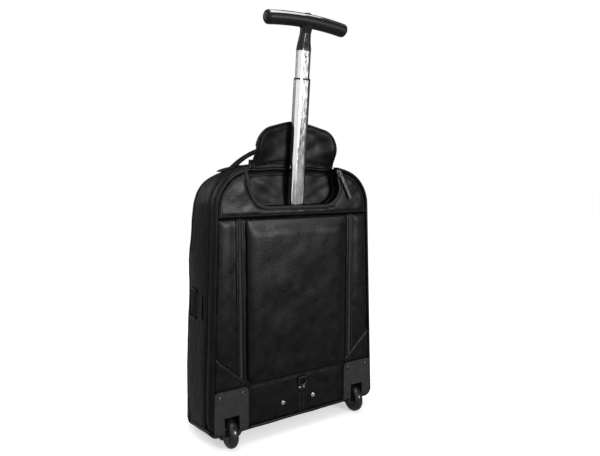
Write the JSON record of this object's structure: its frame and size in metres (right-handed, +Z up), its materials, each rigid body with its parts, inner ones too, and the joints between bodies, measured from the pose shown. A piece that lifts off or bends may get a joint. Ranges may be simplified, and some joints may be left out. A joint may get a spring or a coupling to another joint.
{
  "type": "pilot rolling flight case",
  "caption": "Soft leather two-wheeled flight case with an arched top, a zip-open lid and pocket, and a telescopic pole with a T handle.",
  "frame": {"origin": "middle of the case's footprint box, on the ground", "axes": "+Z up; +Y towards the back panel with the wheels and the pole; -Y towards the opening lid; +X towards the left side as seen from the front"},
  "size_m": [0.3392, 0.1893, 0.7219],
  "materials": {
    "leather": "black grained leather, soft sheen",
    "lining": "smooth black woven lining",
    "zip_tape": "black zip tape with dark teeth",
    "plastic": "satin black moulded plastic",
    "grip": "soft black rubberised grip",
    "aluminium": "satin silver anodised",
    "chrome": "polished",
    "steel": "dark nickel plated",
    "wheel": "glossy dark polyurethane"
  },
  "bodies": {
    "case": {"back_panel": "leather", "back_yoke": "leather", "back_piping": "leather", "rear_band": "leather", "rear_zip": "zip_tape", "gusset": "leather", "base_tray": "leather", "front_feet": "plastic", "trolley_cover": "lining", "handle_pocket": "lining", "side_zips": "zip_tape", "corner_patches": "leather", "ring_strap": "leather", "strap_rivets": "chrome", "bracket_screws": "chrome", "foot_bracket": "plastic", "guide_tube": "aluminium", "guide_collar": "plastic", "left_housing": "plastic", "right_housing": "plastic", "housing_screws": "steel", "left_axle": "steel", "right_axle": "steel", "top_handle": "leather", "handle_anchors": "leather", "left_side_tab": "leather", "right_side_tab": "leather", "mouth_zip": "zip_tape", "lid_zip": "zip_tape", "zip_sliders": "steel"},
    "mid_pole": {"mid_tube": "aluminium", "mid_collar": "plastic", "mid_glide": "plastic"},
    "inner_pole": {"inner_tube": "aluminium", "inner_glide": "plastic", "handle_neck": "plastic", "handle_grip": "grip", "handle_trim": "chrome", "grip_caps": "grip"},
    "release": {"release_button": "grip", "release_rod": "aluminium"},
    "wheel_left": {"left_tyre": "wheel", "left_hub": "plastic", "left_bearings": "steel"},
    "wheel_right": {"right_tyre": "wheel", "right_hub": "plastic", "right_bearings": "steel"},
    "flap": {"handle_flap": "leather"},
    "cover": {"strap_cover": "leather"},
    "ring_left": {"left_ring": "plastic"},
    "ring_right": {"right_ring": "plastic"},
    "ring_d": {"d_ring": "plastic"},
    "lid": {"front_lid": "leather", "front_pocket": "leather", "pocket_zip": "zip_tape", "pocket_slider": "steel"},
    "pull_mouth": {"mouth_pull": "steel"},
    "pull_lid": {"lid_pull": "steel"},
    "pull_rear": {"rear_pull": "steel"},
    "pull_pocket": {"pocket_pull": "steel"}
  },
  "joints": [
    {"name": "mid_slide", "type": "slide", "parent": "case", "child": "mid_pole", "axis": [0, 0.1045, 0.9945], "range_m": [-0.215, 0.06]},
    {"name": "inner_slide", "type": "slide", "parent": "mid_pole", "child": "inner_pole", "axis": [0, 0.1045, 0.9945], "range_m": [-0.042, 0.215]},
    {"name": "release_press", "type": "slide", "parent": "inner_pole", "child": "release", "axis": [0, -0.1045, -0.9945], "range_m": [0, 0.004], "stiffness_N_per_m": 600, "springref_m": -0.004},
    {"name": "left_wheel_spin", "type": "hinge", "parent": "case", "child": "wheel_left", "pos_m": [0.1305, 0.054, 0.025], "axis": [1, 0, 0], "continuous": true},
    {"name": "right_wheel_spin", "type": "hinge", "parent": "case", "child": "wheel_right", "pos_m": [-0.1305, 0.054, 0.025], "axis": [1, 0, 0], "continuous": true},
    {"name": "flap_hinge", "type": "hinge", "parent": "case", "child": "flap", "pos_m": [-0.004, 0.0412, 0.483], "axis": [1, 0, 0], "range_deg": [0, 50]},
    {"name": "cover_hinge", "type": "hinge", "parent": "case", "child": "cover", "pos_m": [0, 0.0626, 0.386], "axis": [1, 0, 0], "range_deg": [0, 60]},
    {"name": "left_ring_hinge", "type": "hinge", "parent": "case", "child": "ring_left", "pos_m": [0.16466, -0.01, 0.21216], "axis": [-0.0384, 0, 0.9993], "range_deg": [0, 150]},
    {"name": "right_ring_hinge", "type": "hinge", "parent": "case", "child": "ring_right", "pos_m": [-0.16466, -0.01, 0.21216], "axis": [-0.0384, 0, -0.9993], "range_deg": [0, 150]},
    {"name": "d_ring_hinge", "type": "hinge", "parent": "case", "child": "ring_d", "pos_m": [-0.0065, 0.067, 0.0985], "axis": [1, 0, 0], "range_deg": [0, 140]},
    {"name": "lid_hinge", "type": "hinge", "parent": "case", "child": "lid", "pos_m": [0, -0.076, 0.061], "axis": [1, 0, 0], "range_deg": [0, 90]},
    {"name": "mouth_pull_hinge", "type": "hinge", "parent": "case", "child": "pull_mouth", "pos_m": [-0.08507, 0.0681, 0.462], "axis": [0.8829, 0, -0.4695], "range_deg": [0, 120]},
    {"name": "lid_pull_hinge", "type": "hinge", "parent": "case", "child": "pull_lid", "pos_m": [-0.16515, -0.046, 0.15014], "axis": [0, 1, 0], "range_deg": [0, 120]},
    {"name": "rear_pull_hinge", "type": "hinge", "parent": "case", "child": "pull_rear", "pos_m": [-0.16415, 0.035, 0.15014], "axis": [0, 1, 0], "range_deg": [0, 120]},
    {"name": "pocket_pull_hinge", "type": "hinge", "parent": "lid", "child": "pull_pocket", "pos_m": [0.09, -0.08175, 0.374], "axis": [-1, 0, 0], "range_deg": [0, 120]}
  ]
}
